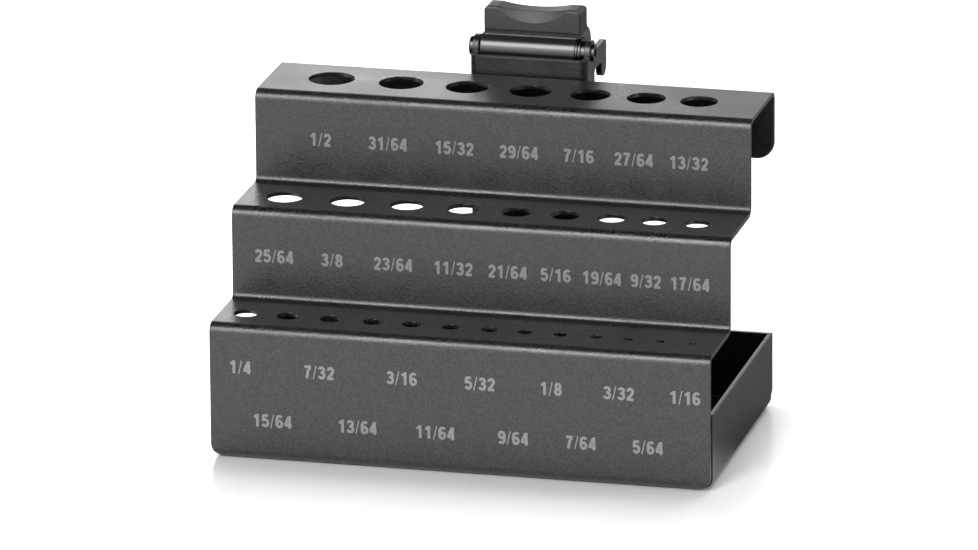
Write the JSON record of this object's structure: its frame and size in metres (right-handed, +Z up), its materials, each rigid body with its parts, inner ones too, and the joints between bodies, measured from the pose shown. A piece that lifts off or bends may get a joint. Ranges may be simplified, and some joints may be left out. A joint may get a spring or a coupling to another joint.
{
  "type": "drill bit rack",
  "caption": "Stepped drill bit rack folded from one steel sheet, with graded holes, an open tray, and a hook bracket with a cam lever that locks it in a slat wall.",
  "frame": {"origin": "centre of the whole's footprint, in the plane of the base's underside", "axes": "+X along the rows of holes to the right as seen from the front, +Y to the back, towards the wall, +Z up"},
  "size_m": [0.1432, 0.1076, 0.1105],
  "materials": {
    "coat": "fine-textured satin powder coat",
    "steel": "black zinc",
    "plastic": "semi-gloss moulded black"
  },
  "bodies": {
    "rack": {"rack_body": "coat", "hook_bracket": "coat", "pivot_rivet": "steel", "lever_spacer": "steel"},
    "lever": {"cam_lever": "plastic"}
  },
  "joints": [
    {"name": "lever_hinge", "type": "hinge", "parent": "rack", "child": "lever", "pos_m": [0, 0.0368, 0.0979], "axis": [1, 0, 0], "range_deg": [0, 74]}
  ]
}
